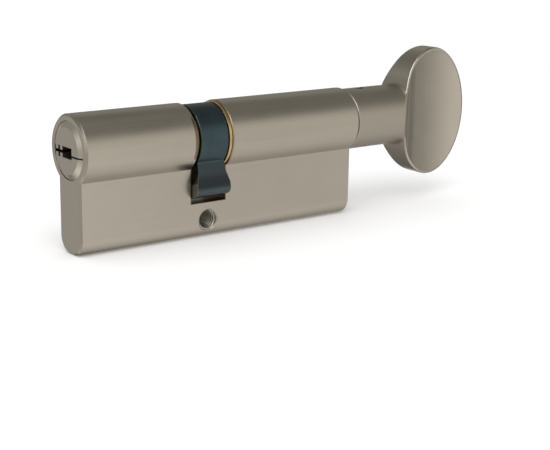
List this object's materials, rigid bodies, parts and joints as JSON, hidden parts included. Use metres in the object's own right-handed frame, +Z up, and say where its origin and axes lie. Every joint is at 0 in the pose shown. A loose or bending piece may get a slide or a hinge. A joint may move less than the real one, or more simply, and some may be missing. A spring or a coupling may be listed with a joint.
{
  "type": "euro profile lock cylinder with thumb turn",
  "caption": "Euro profile lock cylinder with a dimple-key plug on one side, an oval thumb turn on the other and a turning cam between them, held by a cross screw.",
  "frame": {"origin": "on the cylinder's turning axis, level with the fixing screw's axis along it", "axes": "+X along the cylinder's axis from the key side to the knob side, +Z up from the leg to the round head, Y across the leg, along the fixing screw"},
  "size_m": [0.1244, 0.017, 0.0421],
  "materials": {
    "nickel_body": "satin nickel plate over brass",
    "nickel_plug": "satin nickel plate over brass",
    "nickel_knob": "satin nickel plate over brass",
    "bare_brass": "bare machined brass",
    "cap_brass": "bare machined brass",
    "spring_wire": "drawn spring wire",
    "blued_steel": "blue-black oxide",
    "hardened_steel": "hardened, ground",
    "clip_bronze": "phosphor bronze strip",
    "screw_steel": "black oxide",
    "clutch_steel": "sintered steel"
  },
  "bodies": {
    "housing": {"cylinder_body": "nickel_body", "anti_drill_pin": "hardened_steel", "spring_cap_1": "cap_brass", "spring_cap_2": "cap_brass", "spring_cap_3": "cap_brass", "spring_cap_4": "cap_brass", "spring_cap_5": "cap_brass", "pin_spring_1": "spring_wire", "pin_spring_2": "spring_wire", "pin_spring_3": "spring_wire", "pin_spring_4": "spring_wire", "pin_spring_5": "spring_wire"},
    "plug": {"key_plug": "nickel_plug", "key_side_clip": "clip_bronze"},
    "clutch_bar": {"clutch": "clutch_steel"},
    "turn_knob": {"knob": "nickel_knob", "knob_spindle": "bare_brass", "grub_screw": "screw_steel", "knob_side_clip": "clip_bronze", "clutch_spring": "spring_wire"},
    "cam_ring": {"cam": "blued_steel"},
    "driver_1": {"driver_pin_1": "hardened_steel"},
    "keypin_1": {"key_pin_1": "bare_brass"},
    "driver_2": {"driver_pin_2": "bare_brass"},
    "keypin_2": {"key_pin_2": "bare_brass"},
    "driver_3": {"driver_pin_3": "bare_brass"},
    "keypin_3": {"key_pin_3": "bare_brass"},
    "driver_4": {"driver_pin_4": "bare_brass"},
    "keypin_4": {"key_pin_4": "bare_brass"},
    "driver_5": {"driver_pin_5": "bare_brass"},
    "keypin_5": {"key_pin_5": "bare_brass"}
  },
  "joints": [
    {"name": "key_turn", "type": "hinge", "parent": "housing", "child": "plug", "pos_m": [0, 0, 0], "axis": [1, 0, 0], "range_deg": [-360, 360]},
    {"name": "knob_turn", "type": "hinge", "parent": "housing", "child": "turn_knob", "pos_m": [0, 0, 0], "axis": [1, 0, 0], "continuous": true},
    {"name": "cam_turn", "type": "hinge", "parent": "housing", "child": "cam_ring", "pos_m": [0, 0, 0], "axis": [1, 0, 0], "continuous": true},
    {"name": "clutch_slide", "type": "slide", "parent": "plug", "child": "clutch_bar", "axis": [1, 0, 0], "range_m": [0, 0.0013], "deforming": ["clutch_spring"]},
    {"name": "driver_1_lift", "type": "slide", "parent": "housing", "child": "driver_1", "axis": [0, 0, 1], "range_m": [0, 0.0006], "deforming": ["pin_spring_1"]},
    {"name": "keypin_1_lift", "type": "slide", "parent": "plug", "child": "keypin_1", "axis": [0, 0, 1], "range_m": [0, 0.0006]},
    {"name": "driver_2_lift", "type": "slide", "parent": "housing", "child": "driver_2", "axis": [0, 0, 1], "range_m": [0, 0.0013], "deforming": ["pin_spring_2"]},
    {"name": "keypin_2_lift", "type": "slide", "parent": "plug", "child": "keypin_2", "axis": [0, 0, 1], "range_m": [0, 0.0013]},
    {"name": "driver_3_lift", "type": "slide", "parent": "housing", "child": "driver_3", "axis": [0, 0, 1], "range_m": [0, 0.0009], "deforming": ["pin_spring_3"]},
    {"name": "keypin_3_lift", "type": "slide", "parent": "plug", "child": "keypin_3", "axis": [0, 0, 1], "range_m": [0, 0.0009]},
    {"name": "driver_4_lift", "type": "slide", "parent": "housing", "child": "driver_4", "axis": [0, 0, 1], "range_m": [0, 0.0015], "deforming": ["pin_spring_4"]},
    {"name": "keypin_4_lift", "type": "slide", "parent": "plug", "child": "keypin_4", "axis": [0, 0, 1], "range_m": [0, 0.0015]},
    {"name": "driver_5_lift", "type": "slide", "parent": "housing", "child": "driver_5", "axis": [0, 0, 1], "range_m": [0, 0.0007], "deforming": ["pin_spring_5"]},
    {"name": "keypin_5_lift", "type": "slide", "parent": "plug", "child": "keypin_5", "axis": [0, 0, 1], "range_m": [0, 0.0007]}
  ],
  "couplings": [
    {"joint": "cam_turn", "follows": "knob_turn", "ratio": 1},
    {"joint": "keypin_1_lift", "follows": "driver_1_lift", "ratio": 1},
    {"joint": "keypin_2_lift", "follows": "driver_2_lift", "ratio": 1},
    {"joint": "keypin_3_lift", "follows": "driver_3_lift", "ratio": 1},
    {"joint": "keypin_4_lift", "follows": "driver_4_lift", "ratio": 1},
    {"joint": "keypin_5_lift", "follows": "driver_5_lift", "ratio": 1}
  ]
}
